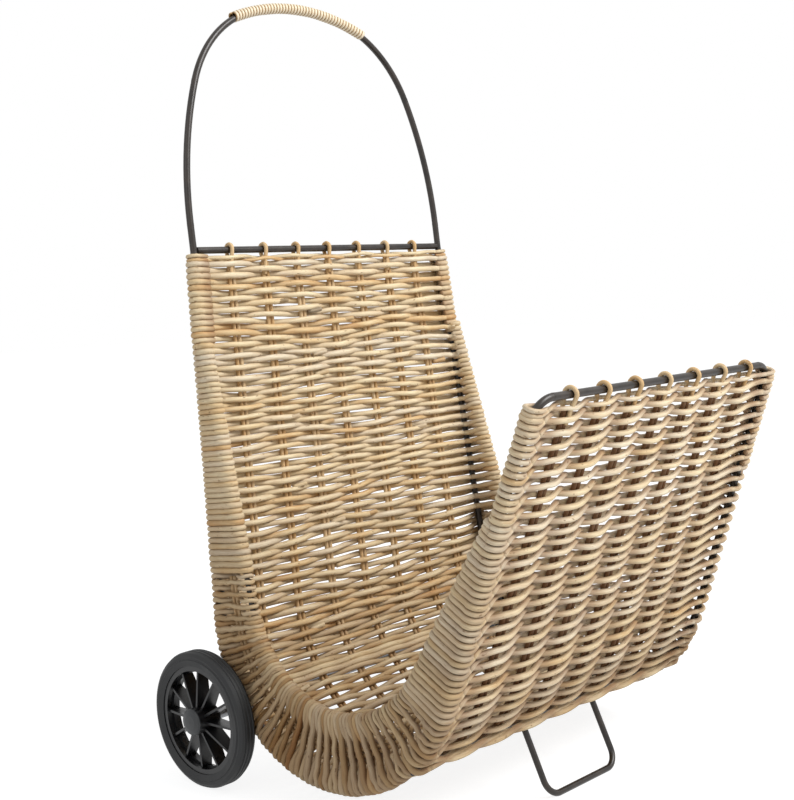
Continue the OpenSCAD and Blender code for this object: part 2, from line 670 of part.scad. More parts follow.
handle_arch();
grip_binding();
back_crossbar();
front_rail();
side_rail(-1);  // side_rail_left
side_rail(1);  // side_rail_right
rim_rod(-1);  // rim_rod_left
rim_rod(1);  // rim_rod_right
cross_rod(axle_row);  // axle_crossbar
cross_rod(leg_row);  // leg_crossbar
leg_loop();
axle_bracket(-1);  // axle_bracket_left
axle_bracket(1);  // axle_bracket_right
axle();
spacer(-1);  // spacer_left
spacer(1);  // spacer_right
washer(-1);  // washer_left
washer(1);  // washer_right
push_nut(-1);  // push_nut_left
push_nut(1);  // push_nut_right
bush(-1);  // bush_left
bush(1);  // bush_right
wheel(-1);  // wheel_left
wheel(1);  // wheel_right
tyre(-1);  // tyre_left
tyre(1);  // tyre_right
hub_cap(-1);  // hub_cap_left
hub_cap(1);  // hub_cap_right
stake(1);  // stake_1
stake(2);  // stake_2
stake(3);  // stake_3
stake(4);  // stake_4
stake(5);  // stake_5
stake(6);  // stake_6
stake(7);  // stake_7
side_stake(-1);  // side_stake_left
side_stake(1);  // side_stake_right
back_weavers();
bottom_weavers();
front_weavers();
side_weavers(-1);  // side_weavers_left
side_weavers(1);  // side_weavers_right
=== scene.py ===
# %% [markdown]
# # A fireside log cart
# The cart is a bent round-bar frame with a willow carrier woven on it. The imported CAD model
# brings the bars, the axle and the wheels in their true places. This script dresses them: it
# weaves the willow rod by rod, binds the grip with cane, and gives each material its finish.

import json
import math
from collections import namedtuple

import bpy
import numpy as np
from mathutils import Matrix


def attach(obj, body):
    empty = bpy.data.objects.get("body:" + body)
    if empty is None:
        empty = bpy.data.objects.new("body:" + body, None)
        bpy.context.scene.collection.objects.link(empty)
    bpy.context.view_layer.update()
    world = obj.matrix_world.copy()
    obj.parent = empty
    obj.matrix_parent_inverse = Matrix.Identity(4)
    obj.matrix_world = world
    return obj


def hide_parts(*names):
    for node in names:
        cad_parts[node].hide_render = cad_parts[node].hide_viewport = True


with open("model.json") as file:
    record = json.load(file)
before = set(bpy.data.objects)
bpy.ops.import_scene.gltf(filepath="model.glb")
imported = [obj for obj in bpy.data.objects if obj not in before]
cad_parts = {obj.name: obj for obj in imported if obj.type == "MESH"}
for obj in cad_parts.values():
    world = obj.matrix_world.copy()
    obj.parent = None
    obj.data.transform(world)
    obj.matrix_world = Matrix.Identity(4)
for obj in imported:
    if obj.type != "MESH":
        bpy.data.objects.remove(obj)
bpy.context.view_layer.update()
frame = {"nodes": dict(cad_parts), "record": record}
nodes = frame["nodes"]

# %% [markdown]
# ## Numbers of the real cart
# Every length is in millimetres, as on a maker's drawing. A side of the frame is one long
# path: down the straight back, round the belly and up the straight front. Measuring along
# that path is the handiest way to say where a willow rod crosses the frame.

# %% Sizes in millimetres
MM = 0.001
SHIFT_Y = 9.18265            # the drawing's side view starts at the belly's centre
HALF_W, BACK_H = 210.0, 600.0
FLARE = math.atan(31.0 / BACK_H)        # each side stands out 31 mm over that height
BAR_R, RIM_R = 4.0, 3.0
ROD = 6.6                    # a willow weaver
STAKE_R = 2.5
BAYS = 8                     # seven stakes part the sheet into eight bays
ROWS, FIRST_ROW = 176, 17.0
BACK_ROWS, BOTTOM_ROWS = 73, 46
AXLE_ROW, LEG_ROW = 74, 117
CORNER_R = 28.0

# the bend's centre and radius, the lean of the two straights and the heights of their tops
Path = namedtuple("Path", "y z r back front top_back top_front")
RAIL = Path(0.0, 209.0, 172.0, math.radians(6.5), math.radians(19.5), BACK_H, 449.0)
RIM_Y, RIM_Z, RIM_TURN = -10.0, 242.0, 136.0
RIM_BACK, RIM_FRONT = math.radians(15.0), math.radians(30.0)
RIM_INSIDE = 7.1             # from the rail's line to the end of the rim rod's


def rim_top(side, lean, rim_lean):
    """Height where the rim rod's straight meets the side of the rail: the foot of the
    straight, plus its distance to the rail over the sine of the angle between them."""
    foot_y = RIM_Y + side * RIM_TURN * math.cos(rim_lean)
    foot_z = RIM_Z - RIM_TURN * math.sin(rim_lean)
    inside = RAIL.r - side * foot_y * math.cos(lean) + (foot_z - RAIL.z) * math.sin(lean)
    return foot_z + (inside - RIM_INSIDE) / math.sin(rim_lean - lean) * math.cos(rim_lean)


RIM = Path(RIM_Y, RIM_Z, RIM_TURN, RIM_BACK, RIM_FRONT,
           rim_top(1, RAIL.back, RIM_BACK), rim_top(-1, RAIL.front, RIM_FRONT))


def lengths(path):
    """Lengths of a path's straight back, its bend and its straight front."""
    return ((path.top_back - path.z + path.r * math.sin(path.back)) / math.cos(path.back),
            path.r * (math.pi - path.back - path.front),
            (path.top_front - path.z + path.r * math.sin(path.front)) / math.cos(path.front))


def on_path(path, s):
    """Place (y, z) and angle of the outward normal at distance s down a path: the normal
    turns with s round the bend, and the straights run along its right angle."""
    back, bend, _ = lengths(path)
    a = -path.back - np.clip(s - back, 0.0, bend) / path.r
    run = np.minimum(s - back, 0.0) + np.maximum(s - back - bend, 0.0)
    return (path.y + path.r * np.cos(a) + run * np.sin(a),
            path.z + path.r * np.sin(a) - run * np.cos(a), a)


def nearest(path, y, z):
    """Distance along a path of its point nearest to (y, z)."""
    back, bend, _ = lengths(path)
    dy, dz = y - path.y, z - path.z
    up_back = dy * math.sin(path.back) + dz * math.cos(path.back)
    up_front = -dy * math.sin(path.front) + dz * math.cos(path.front)
    round_it = back + (-path.back - np.arctan2(dz, dy)) * path.r
    return np.where((up_back > 0) & (dy > 0), back - up_back,
                    np.where(up_front > 0, back + bend + up_front, round_it))


RAIL_LEN, RIM_LEN = sum(lengths(RAIL)), sum(lengths(RIM))
print("rail", round(RAIL_LEN, 1), "mm, rim rod", round(RIM_LEN, 1), "mm")


def side_3d(side, y, z, w):
    """A point of the flat side view, w outside its plane, turned about the crossbar's end
    by the flare: x grows by the depth below the crossbar times the flare's sine."""
    down = BACK_H - z
    x = side * (HALF_W + down * math.sin(FLARE) + w * math.cos(FLARE))
    return np.stack(np.broadcast_arrays(
        x, y + SHIFT_Y, BACK_H - down * math.cos(FLARE) + w * math.sin(FLARE)), -1)


def half_width(s):
    """Two half widths of the carrier at distance s. The first is the crossbar's half plus
    the flare. The second gives up, inside a round front corner, what its arc cuts off."""
    _, z, _ = on_path(RAIL, s)
    full = HALF_W + (BACK_H - z) * math.sin(FLARE)
    corner = math.pi / 2 - math.atan(math.tan(FLARE) * math.cos(RAIL.front))
    up = np.clip(s - (RAIL_LEN - CORNER_R * math.tan(corner / 2)), 0.0, CORNER_R)
    return full, full - CORNER_R + np.sqrt(CORNER_R ** 2 - up ** 2)


def panel_3d(x, s, off):
    """A point of the woven sheet: across by x, down the path by s, outward by off."""
    y, z, a = on_path(RAIL, s)
    z = BACK_H - (BACK_H - z) * math.cos(FLARE)
    return np.stack(np.broadcast_arrays(
        x, y + off * np.cos(a) + SHIFT_Y, z + off * np.sin(a)), -1)


def share_of(q):
    """Place across the sheet, from -1 at the left rail to 1 at the right, of stake q."""
    return q / (BAYS / 2) - 1.0


def down_path(s):
    """Unit vector down the path at distance s, the direction that the rows follow."""
    _, _, a = on_path(RAIL, s)
    return np.stack([0 * a, np.sin(a), -np.cos(a)], -1)


# %% [markdown]
# ## One tool for every rod
# A willow rod, a stake or a cane is a round tube whose line wanders. All rods of a piece are
# made in one go: an array of lines becomes an array of rings, and the rings become one mesh.
# Each point also stores where it lies along and around its rod, so the grain of the wood can
# follow the rod wherever it bends.

# %% Tube maker
SIDES = 8
rng = np.random.default_rng(7)


def smooth(line, times=1):
    """Rounds corners: every inner point becomes a quarter, a half and a quarter of its
    neighbours, and the two ends stay."""
    for _ in range(times):
        line = np.concatenate([line[:, :1], 0.25 * line[:, :-2] + 0.5 * line[:, 1:-1]
                               + 0.25 * line[:, 2:], line[:, -1:]], 1)
    return line


def wander(shape, scale, waves=3):
    """Slow random drift along each rod: a sum of a few sines with random phases."""
    n, k = shape
    t = np.linspace(0, 1, k)[None, :]
    out = np.zeros(shape)
    for i in range(waves):
        f = rng.uniform(1.5, 9.0, (n, 1)) * (1 + i)
        out += np.sin(2 * np.pi * (f * t + rng.random((n, 1)))) / (1 + i)
    return out * scale / waves


def low_down(line, top, depth):
    """How low each point of a line lies: 0 above the height top, 1 from depth below it."""
    return np.clip((top - line[..., 2]) / depth, 0, 1)


def new_mesh(name, verts, quads, caps):
    """Puts numpy arrays into a smooth mesh: quads is (n, 4) and caps is (m, k)."""
    mesh = bpy.data.meshes.new(name)
    loops = np.concatenate([quads.ravel(), caps.ravel()]).astype(np.int32)
    starts = np.concatenate([np.arange(len(quads)) * 4,
                             len(quads) * 4 + np.arange(len(caps)) * caps.shape[1]])
    mesh.vertices.add(len(verts))
    mesh.vertices.foreach_set("co", (verts * MM).astype(np.float32).ravel())
    mesh.loops.add(len(loops))
    mesh.loops.foreach_set("vertex_index", loops)
    mesh.polygons.add(len(starts))
    mesh.polygons.foreach_set("loop_start", starts.astype(np.int32))
    mesh.update(calc_edges=True)
    mesh.polygons.foreach_set("use_smooth", np.ones(len(starts), bool))
    mesh.validate()
    obj = bpy.data.objects.new(name, mesh)
    bpy.context.scene.collection.objects.link(obj)
    return obj


def keep(obj, name, kind, field, values):
    """Stores one value per point on the mesh under a name that a material can read."""
    data = obj.data.attributes.new(name, kind, "POINT").data
    data.foreach_set(field, np.ascontiguousarray(values, np.float32).ravel())


def rods(name, line, radius, ref, shade, tone=None, low_tint=None, sides=SIDES, crevice=0.0):
    """Sweeps a circle along every line. line is (rods, points, 3) in mm; ref is a vector that
    stays off the lines' direction. A ring's point is line + r (cos q N + sin q B), where N is
    ref made square to the line and B closes the frame. Where a rod lies against its neighbours,
    along plus and minus N, crevice cos(q) ** 4 is added to the painted shade."""
    n, k, _ = line.shape
    tangent = np.gradient(line, axis=1)
    tangent /= np.linalg.norm(tangent, axis=2, keepdims=True)
    ref = np.broadcast_to(ref, line.shape)
    normal = ref - (ref * tangent).sum(2, keepdims=True) * tangent
    normal /= np.linalg.norm(normal, axis=2, keepdims=True)
    binormal = np.cross(tangent, normal)
    q = np.arange(sides) * 2 * np.pi / sides
    radius = np.broadcast_to(radius, (n, k))[..., None, None]
    verts = (line[:, :, None] + radius * (np.cos(q)[:, None] * normal[:, :, None]
                                          + np.sin(q)[:, None] * binormal[:, :, None]))
    idx = np.arange(n * k * sides).reshape(n, k, sides)
    nxt = np.roll(idx, -1, axis=2)
    quads = np.stack([idx[:, :-1], nxt[:, :-1], nxt[:, 1:], idx[:, 1:]], -1).reshape(-1, 4)
    caps = np.concatenate([idx[:, 0, ::-1], idx[:, -1]])
    obj = new_mesh(name, verts.reshape(-1, 3), quads, caps)
    # the grain of each rod starts at a place of its own, so no two rods look alike
    step = np.linalg.norm(np.diff(line, axis=1), axis=2)
    along = np.concatenate([np.zeros((n, 1)), np.cumsum(step, 1)], 1)
    along = along + rng.uniform(0, 9000, (n, 1))
    grain = np.stack(np.broadcast_arrays(along[..., None], radius[..., 0] * np.cos(q),
                                         radius[..., 0] * np.sin(q)), -1)
    keep(obj, "grain", "FLOAT_VECTOR", "vector", grain)
    tone = rng.random(n) if tone is None else tone
    keep(obj, "tone", "FLOAT", "value", np.broadcast_to(tone[:, None, None], (n, k, sides)))
    # painted shade: how deep the rod dives under its neighbours, plus its crevices
    deep = np.clip(shade[..., None] + crevice * np.cos(q) ** 4, 0, 1)
    keep(obj, "shade", "FLOAT", "value", deep)
    # this value makes a rod darker and greyer low down
    low_tint = 0.6 * low_down(line, 260.0, 190.0) if low_tint is None else low_tint
    keep(obj, "low_tint", "FLOAT", "value", np.broadcast_to(low_tint[..., None], (n, k, sides)))
    print(f"{name}: {n} rods, {2 * len(quads)} triangles")
    return obj


# %% [markdown]
# ## How the carrier is woven
# Two weaves meet in the carrier. On the back and the bottom a rod passes by turns outside one
# stake and inside the next, and its neighbour does the opposite: plain weave, flat and close.
# From the leg upwards the front is pairing: two rods twist round each other like a rope, and
# every stake stands between the two. In front of a stake one rod of the pair shows as a long
# hump, then it climbs and goes behind the next. So a rod's place is a wave outward and a wave
# along the path, a quarter turn apart, and its partner has both waves turned over. A weaver
# beats the rows down by hand, so neither their spacing nor their lines are quite even.

# %% Lines of the rows between the rails
pitch = (RAIL_LEN - 2 * FIRST_ROW) / (ROWS - 1)
AXLE_S, LEG_S = FIRST_ROW + pitch * AXLE_ROW, FIRST_ROW + pitch * LEG_ROW
# the middle of the back is packed tightly, and the bend and the front are looser
SPACING_S = [60.0, 100.0, 150.0, 210.0, 270.0, 330.0, 560.0, 620.0, 800.0, 900.0]
SPACING = [13.4, 13.0, 12.3, 11.6, 11.6, 13.3, 13.5, 14.8, 14.8, 13.6]
fine = np.linspace(FIRST_ROW - pitch / 2, RAIL_LEN - FIRST_ROW + pitch / 2, 2000)
laid = np.cumsum(np.diff(fine) / np.interp(fine[1:], SPACING_S, SPACING))
laid = np.concatenate([[0.0], laid])
PAIRS = round(laid[-1])
pair_s = np.interp((np.arange(PAIRS) + 0.5) * laid[-1] / PAIRS, laid, fine)
# a pair lies beside each cross rod, and its neighbours shift a little to make room
PAST_AXLE, PAST_LEG = 2.0, 8.0
bar_pairs = [np.abs(pair_s - AXLE_S).argmin(), np.abs(pair_s - LEG_S).argmin()]
bar_pair_s = np.array([AXLE_S + PAST_AXLE, LEG_S + PAST_LEG])
pair_s += np.interp(pair_s, [FIRST_ROW, *pair_s[bar_pairs], RAIL_LEN - FIRST_ROW],
                    [0, *(bar_pair_s - pair_s[bar_pairs]), 0])
# two thin finishing pairs lie between the first and last rows and the bars
FINISH_S, FINISH_HALF = 10.2, 2.4
half = np.concatenate([[FINISH_HALF], np.gradient(pair_s) / 4, [FINISH_HALF]])
pair_s = np.concatenate([[FINISH_S], pair_s, [RAIL_LEN - FINISH_S]])
thin = np.zeros(len(pair_s))
thin[[0, -1]] = 1.0
LINES = 2 * len(pair_s)
row_s = np.repeat(pair_s, 2)
half, thin = np.repeat(half, 2)[:, None], np.repeat(thin, 2)[:, None]
# 0 for the first rod of a pair, 1 for its partner
second = np.tile([0.0, 1.0], len(pair_s))[:, None]
is_partner = second > 0.5
sign = 2 * second - 1
at_axle, at_leg = (np.arange(LINES)[:, None] // 2 == pair + 1 for pair in bar_pairs)
# 1 where the rods are plain woven, and 0 where they twine
PLAIN_END, PLAIN_FADE = 775.0, 40.0
plain = np.clip((PLAIN_END - row_s) / PLAIN_FADE, 0.0, 1.0)[:, None]
OUT, CLIMB = STAKE_R + ROD / 2, 3.3


def swell(s):
    """How far the sheet stands out in front of the leg's cross rod, which it has to clear:
    a bump of 3 mm whose top is 20 mm past the rod and which fades over 11 mm."""
    return 3.0 * np.exp(-((s - LEG_S - 20.0) / 11.0) ** 2)


# each wave's height in mm, its turns from stake to stake, its length down the path, its start
BEATEN_WAVES = ((2.2, 0.11, 170.0, 0.3), (1.5, 0.21, -95.0, 0.7), (0.9, 0.33, 58.0, 0.0))


def uneven(q, s):
    """How far the rows are beaten down unevenly, in mm: three crossed waves over the sheet,
    faded to nothing at the rails, within 60 mm of each cross rod and at the two ends."""
    waves = sum(high * np.sin(2 * np.pi * (across * q + s / down + start))
                for high, across, down, start in BEATEN_WAVES)
    clear = np.minimum.reduce([abs(s - AXLE_S), abs(s - LEG_S), s - 10.0, RAIL_LEN - s - 10.0])
    return waves * np.sin(np.pi * q / BAYS) ** 0.5 * np.clip(clear / 60.0, 0.0, 1.0)


def hop(p):
    """Climb of a rod at phase p: a short steep hop where it passes over its partner, at a
    quarter turn, and a long flat stretch in between: 2 ((1 + sin p) / 2) ** 12 - 1."""
    return CLIMB * (2 * ((1 + np.sin(p)) / 2) ** 12 - 1)


# q counts stakes: 0 and 8 are the rails, and the sheet's lines start a little inside them
FIRST_Q = 0.24
q = np.linspace(FIRST_Q, BAYS - FIRST_Q, 96)[None, :]
phase = np.pi * (q + second)
# the rods of the bend press closer to the stakes, and a twined rod's humps are fuller
press = np.interp(row_s, [430.0, 520.0, 740.0, 780.0], [1.0, 0.88, 0.88, 1.0])[:, None]
off = OUT * press * np.cos(phase) * (1 + (1 - plain) * 0.28 * np.sin(phase) ** 2)
climb = hop(phase)

# %% [markdown]
# Beside the left rail both rods of a pair come out to pass round it, and cross once more. At
# the right rail one rod goes round the outside and its partner passes inside, so the black bar
# shows between them.

# %% Ends of the rows beside the rails
RIM_S = np.linspace(0, RIM_LEN, 600)
rim_y, rim_z, _ = on_path(RIM, RIM_S)
foot = nearest(RAIL, rim_y, rim_z)


def span_at(s, slant):
    """Rail point, its normal's angle, unit direction to the rim and distance to it at place
    s. The rim's point is the one whose foot on the rail lies slant times the distance on."""
    ry, rz, a = on_path(RAIL, s)
    ty, tz, _ = on_path(RIM, np.interp(s, foot, RIM_S))
    straight_d = np.hypot(ty - ry, tz - rz)
    ty, tz, _ = on_path(RIM, np.interp(s + slant * straight_d, foot, RIM_S))
    d = np.hypot(ty - ry, tz - rz)
    inside = (s > foot[0]) & (s < foot[-1])
    d = np.where(inside, d, 0.0)
    dy = np.where(inside, (ty - ry) / np.maximum(d, 1e-6), -np.cos(a))
    dz = np.where(inside, (tz - rz) / np.maximum(d, 1e-6), -np.sin(a))
    return ry, rz, a, dy, dz, d


# the rods of a gusset lean more and more towards the front
slant_s = 0.13 * np.clip((row_s - 760.0) / 120.0, 0.0, 1.0)
span = span_at(row_s, slant_s)[5][:, None]
woven = span > 46.0            # wide enough for stakes of its own
bare = span <= 0
inner = ~is_partner & ~woven   # these pass inside the right rail
BESIDE = 7.2                   # from a rail's line to that of a rod against it
by_left, by_right = q < 0.98, q > BAYS - 0.98
left_q, right_q = [0.0, 0.13, 0.26, 0.45, 0.72, 1.0], [7.0, 7.28, 7.5, 7.72, 7.88, 8.0]
# in each row: the rail, the rods, places across, and how far out and down the path they lie
row_ends = (
    (by_left, ~is_partner, left_q,
     [BESIDE, 6.9, 5.5, 1.2, -3.9, -OUT], [-4.3, -3.0, 0.6, 3.2, 1.6, -2.1]),
    (by_left, is_partner, left_q,
     [BESIDE, 4.4, 0.5, 1.6, 4.3, OUT], [2.3, 1.6, -0.8, -3.2, -3.2, -2.1]),
    (by_right, is_partner, right_q,
     [OUT, 5.5, 5.6, 6.3, BESIDE, BESIDE], [-2.1, 1.6, 3.2, 3.3, 3.3, 3.3]),
    (by_right, ~is_partner & ~inner, right_q,
     [-OUT, -5.2, -3.0, 3.0, 6.6, BESIDE], [-2.1, -3.1, -3.3, -3.3, -3.3, -3.3]),
    (by_right, inner, right_q,
     [-OUT, -5.5, -5.5, -5.6, -6.2, -BESIDE], [-2.1, -3.1, -3.3, -3.3, -3.3, -3.3]),
)
for place, which, at_q, end_off, end_climb in row_ends:
    off = np.where(place & which, np.interp(q, at_q, end_off), off)
    climb = np.where(place & which, np.interp(q, at_q, end_climb), climb)
flat = sign * half - np.interp(q, [FIRST_Q, 1.0], [1.0, 0.0])
climb = flat * plain + climb * (1 - plain)
drift = wander(climb.shape, 1.1) * (1 + 1.1 * thin)
climb = climb * (1 - 0.45 * thin) + drift + uneven(q, row_s[:, None])
off = off + wander(off.shape, 0.45) + swell(row_s)[:, None]
# the pair at the axle's cross rod stays inside the stakes, one rod above and one below
off = np.where(at_axle, -OUT * (0.35 + 0.65 * np.cos(phase) ** 2), off)
climb = np.where(at_axle, CLIMB * sign, climb)
# the pair at the leg's cross rod twines in front of it, outside the stakes, and hides it
bulge = np.where(at_leg & ~is_partner, 4.6, swell(row_s)[:, None])
to_rail = np.clip((np.abs(q - BAYS / 2) - 3.3) / 0.4, 0.0, 1.0)
over_off, over_climb = 11.6 + 2.4 * np.cos(phase), 1.5 + 0.8 * hop(phase)
off = np.where(at_leg, over_off * (1 - to_rail) + (BESIDE + bulge) * to_rail, off)
climb = np.where(at_leg, over_climb * (1 - to_rail) + half * sign * to_rail, climb)
full, narrow = half_width(row_s)
in_end_bay = (q < 1) | (q > BAYS - 1)
x = share_of(q) * np.where(in_end_bay, narrow[:, None], full[:, None])
panel = panel_3d(x, row_s[:, None] + climb, off)
print("woven rows:", len(pair_s), "pairs,", LINES, "rods")

# %% [markdown]
# ## The sides
# At each rail the rods turn the corner and run on as the side gusset: along its outer face to
# the thin rim rod, and round it. Where the gusset is wide a pair of thin stakes stands in its
# middle: one rod of each pair passes inside the stakes and its partner outside. A rod's place
# in a gusset is told by three numbers: its place down the rail, its distance towards the rim,
# and its distance outside the gusset's plane.


# %% Lines of the rods round the rails and the rims
def gusset_3d(side, s, a, w, slant):
    """A point at place s of the rail, a towards the rim (less than 0 is outside the panel)
    and w outside the gusset's plane."""
    ry, rz, n, dy, dz, _ = span_at(s, slant)
    y = ry + np.where(a < 0, -a * np.cos(n), a * dy)
    z = rz + np.where(a < 0, -a * np.sin(n), a * dz)
    return side_3d(side, y, z, w)


BEND_R, RIM_BEND = BAR_R + ROD / 2, RIM_R + ROD / 2
KNOTS, PER_KNOT = 20, 3


def knots(*parts):
    """Joins knots of many rods: each part is an array that spreads to (rods, its knots)."""
    return np.concatenate([np.broadcast_to(p, (LINES, np.shape(p)[-1])) for p in parts], 1)


def choose(value, *pairs):
    """Takes for each rod the last value whose condition holds, or else the first value."""
    for mask, other in pairs:
        value = np.where(mask, other, value)
    return value


def round_bare_rail(outer_a, outer_w):
    """Knots a and w round the rail where no gusset stands beside it: first from the outer
    face to the inner, on a circle of the bar's and the rod's radii, then the other way."""
    c = np.radians(np.concatenate([np.linspace(-60, 100, 13), [100, 100]]))
    out_a, out_w = BEND_R * np.sin(c), BEND_R * np.cos(c)
    out_a[-3:], out_w[-3:] = [6.9, 6.3, 5.8], [-3.5, -8.5, -14.0]
    c = np.radians(np.linspace(10, 175, 12))
    in_a = np.concatenate([[5.6, 6.4, 7.0, 7.2, 7.2], BEND_R * np.cos(c), [-BEND_R] * 3])
    in_w = np.concatenate([[-12.0, -9.5, -6.5, -3.5, -1.0], BEND_R * np.sin(c),
                           [-2.5, -6.0, -10.0]])
    return knots(outer_a, out_a), knots(outer_w, out_w), knots(in_a), knots(in_w)


def side_run(side):
    """Lines of all rods from the panel over the rail to the rim and round it: 5 knots over
    the rail, 7 along the gusset, 5 round the rim and 3 for the tail, then evenly filled."""
    base = (-1.0 if side < 0 else 0.0) + half * sign
    drop = -CLIMB if side > 0 else 0.0
    within = inner if side > 0 else inner & False
    outer_a = BEND_R * np.array([-1, -1, -0.8, -0.35, 0.25])
    outer_w = BEND_R * np.array([-1.1, -0.15, 0.6, 0.95, 1.0])
    rail_a = choose(outer_a, (within, np.array([5.5, 6.2, 8.0, 10.5, 13.0])))
    rail_w = choose(outer_w, (within, np.array([-12.0, -10.0, -8.5, -7.6, -BESIDE])))
    rail_a = rail_a - bulge * np.array([1, 1, 0.8, 0.4, 0.0])
    # along the gusset, by shares of its width
    f = np.array([0.12, 0.25, 0.38, 0.5, 0.62, 0.75, 0.88])
    leg_t, rim_t = base + drop * f, base + drop
    leg_a = choose(f * span, (within, 13.0 + (span - 13.0) * f))
    leg_w = choose(BEND_R + (RIM_BEND - BEND_R) * f,
                   (within, -BESIDE + (BESIDE - RIM_BEND) * f),
                   (woven & ~is_partner, np.array([5.5, 2.5, -3.0, -OUT, -2.5, 2.5, 5.4])),
                   (woven & is_partner, np.array([8.6, 6.5, 5.6, OUT, 5.4, 4.5, 5.6])))
    # round the rim rod, from the face the rod came along to the other
    b = np.radians(np.linspace(0, 180, 5))
    turn = np.where(within, -1.0, 1.0)
    rim_a, rim_w = span + RIM_BEND * np.sin(b), turn * RIM_BEND * np.cos(b)
    # the tail lies along that other face; on the left a partner's runs home to the rail
    home = is_partner & ~woven & (span > 12.0) & (side < 0)
    g = np.array([0.35, 0.7, 1.0])
    tail_a = choose(span + np.array([-3.0, -6.0, -9.0]), (home, span + (6.5 - span) * g))
    tail_w = choose(-turn * (RIM_BEND - np.array([0.0, 0.4, 0.9])),
                    (home, -RIM_BEND - 8.0 * g ** 1.5))
    tail_t = choose(rim_t + np.zeros(3), (home, rim_t - 3.2 * g))
    t = knots(base + np.zeros(5), leg_t, rim_t + np.zeros(5), tail_t)
    a, w = knots(rail_a, leg_a, rim_a, tail_a), knots(rail_w, leg_w, rim_w, tail_w)
    bare_a, bare_w, inside_a, inside_w = round_bare_rail(outer_a, outer_w)
    a = choose(a, (bare, bare_a), (bare & within, inside_a))
    w = choose(w, (bare, bare_w), (bare & within, inside_w))
    t = choose(t, (bare, base))
    # beside the axle's cross rod the pair runs along the rail's flank
    a[:, :5] = np.where(at_axle, np.linspace(5.4, 2.0, 5), a[:, :5])
    fill = np.linspace(0, KNOTS - 1, (KNOTS - 1) * PER_KNOT + 1)
    at = np.minimum(fill.astype(int), KNOTS - 2)
    t, a, w = (v[:, at] * (1 - (fill - at)) + v[:, at + 1] * (fill - at) for v in (t, a, w))
    # in a wide gusset the rods lie more freely than where they hug the rail
    t = t + wander(t.shape, 2.6) * np.where(woven, 1.0, 0.17)
    w = w + wander(w.shape, 1.4) * np.where(woven, 1.0, 0.15)
    return gusset_3d(side, row_s[:, None] + t, a, w, slant_s[:, None])


left_run, right_run = side_run(-1), side_run(1)
whole = smooth(np.concatenate([left_run[:, ::-1], panel, right_run], 1), 3)
k_left, k_panel = left_run.shape[1], panel.shape[1]
# the thickest rods lie in the bend, and the front's are thinner
stout = np.interp(row_s, [480.0, 560.0, 740.0, 780.0], [3.75, 4.05, 4.05, ROD / 2])[:, None]
rod_r = np.clip(1.13 * half, 3.1, stout) * (1 + rng.uniform(-0.14, 0.05, (LINES, 1)))
rod_r = np.where(at_leg, 3.5, rod_r * (1 - 0.25 * thin))
# in a wide gusset the rods crowd towards the short rim, where their thin ends lie
slim = np.where(woven, np.interp(np.arange(k_left), [12, 36], [1.0, 0.72]), 1.0)
slim = np.concatenate([slim[:, ::-1], np.ones((LINES, k_panel)), slim], 1)
radius = rod_r * slim * (1 + wander(whole.shape[:2], 0.1))
ref = down_path(row_s)[:, None, :]
print("rods", round(2 * radius.min(), 1), "to", round(2 * radius.max(), 1), "mm thick")

# %% [markdown]
# ## Where the weave is dark
# Shade is painted into the willow's colour where a rod dives under its neighbour, so each point
# of a rod carries a number that says how deep it lies: most where the pair crosses, least on the
# humps. A second number makes a rod darker and greyer: most low down, and more on the sides.

# %% Painted shade and low tint along the rods
# painted shade, deepest where the rods of a pair cross and dive under each other
panel_shade = (0.72 - 0.47 * plain) * np.abs(np.sin(phase)) ** 3
# painted shade along the gussets: darker where the rods turn over the rail, darkest at the tails
# behind the rim rod
side_shade = np.tile(np.interp(np.arange(k_left), [0, 6, 15, 36, 48, k_left - 1],
                               [0.5, 0.2, 0.35, 0.16, 0.3, 0.85]), (LINES, 1))
shade = np.concatenate([side_shade[:, ::-1], panel_shade, side_shade], 1)
at_side = np.concatenate([np.ones(k_left), np.zeros(k_panel), np.ones(k_left)])
# the rods of the front are paler than the golden ones behind
front_paler = np.interp(row_s, [500.0, 850.0], [0.4, 0.68])
tone = np.clip(front_paler + 0.3 * rng.standard_normal(LINES), 0, 1)
# rods turn darker and greyer low down, and more so on the sides
low_tint_share = np.interp(row_s, [560.0, 800.0], [0.58, 0.38])[:, None] + 0.3 * at_side
low_tint = low_down(whole, 350.0, 270.0) * low_tint_share * rng.uniform(0.6, 1.15, (LINES, 1))


def part_of(name, rows, cols, node):
    """One piece of the weave: some rows and a stretch of their lines, in place of a node."""
    # the rods of the weave get painted shade in the crevices between them
    obj = rods(name, whole[rows][:, cols], radius[rows][:, cols], ref[rows],
               shade[rows][:, cols], tone[rows], low_tint[rows][:, cols], crevice=0.42)
    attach(obj, "frame")
    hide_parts(node)
    return obj


print("pair pitch in mm:", np.round(np.diff(pair_s)[::6], 1))
every, middle = slice(0, LINES), slice(k_left, k_left + k_panel)
left_cols, right_cols = slice(0, k_left + 1), slice(k_left + k_panel - 1, None)
# a panel ends half a row past the last row that the drawing gives it
last_rows = np.array([BACK_ROWS, BACK_ROWS + BOTTOM_ROWS]) - 0.5
to_bottom, to_front = 2 * np.searchsorted(pair_s, FIRST_ROW + pitch * last_rows)
willow_pieces = [
    part_of("willow_back", slice(0, to_bottom), middle, "back_weavers"),
    part_of("willow_bottom", slice(to_bottom, to_front), middle, "bottom_weavers"),
    part_of("willow_front", slice(to_front, LINES), middle, "front_weavers"),
    part_of("willow_side_left", every, left_cols, "side_weavers_left"),
    part_of("willow_side_right", every, right_cols, "side_weavers_right"),
]

# %% [markdown]
# A willow rod is only a metre or so long. Where one ends the next is laid in beside it, and
# the cut butts stay on the inner face, pointing a little inward.

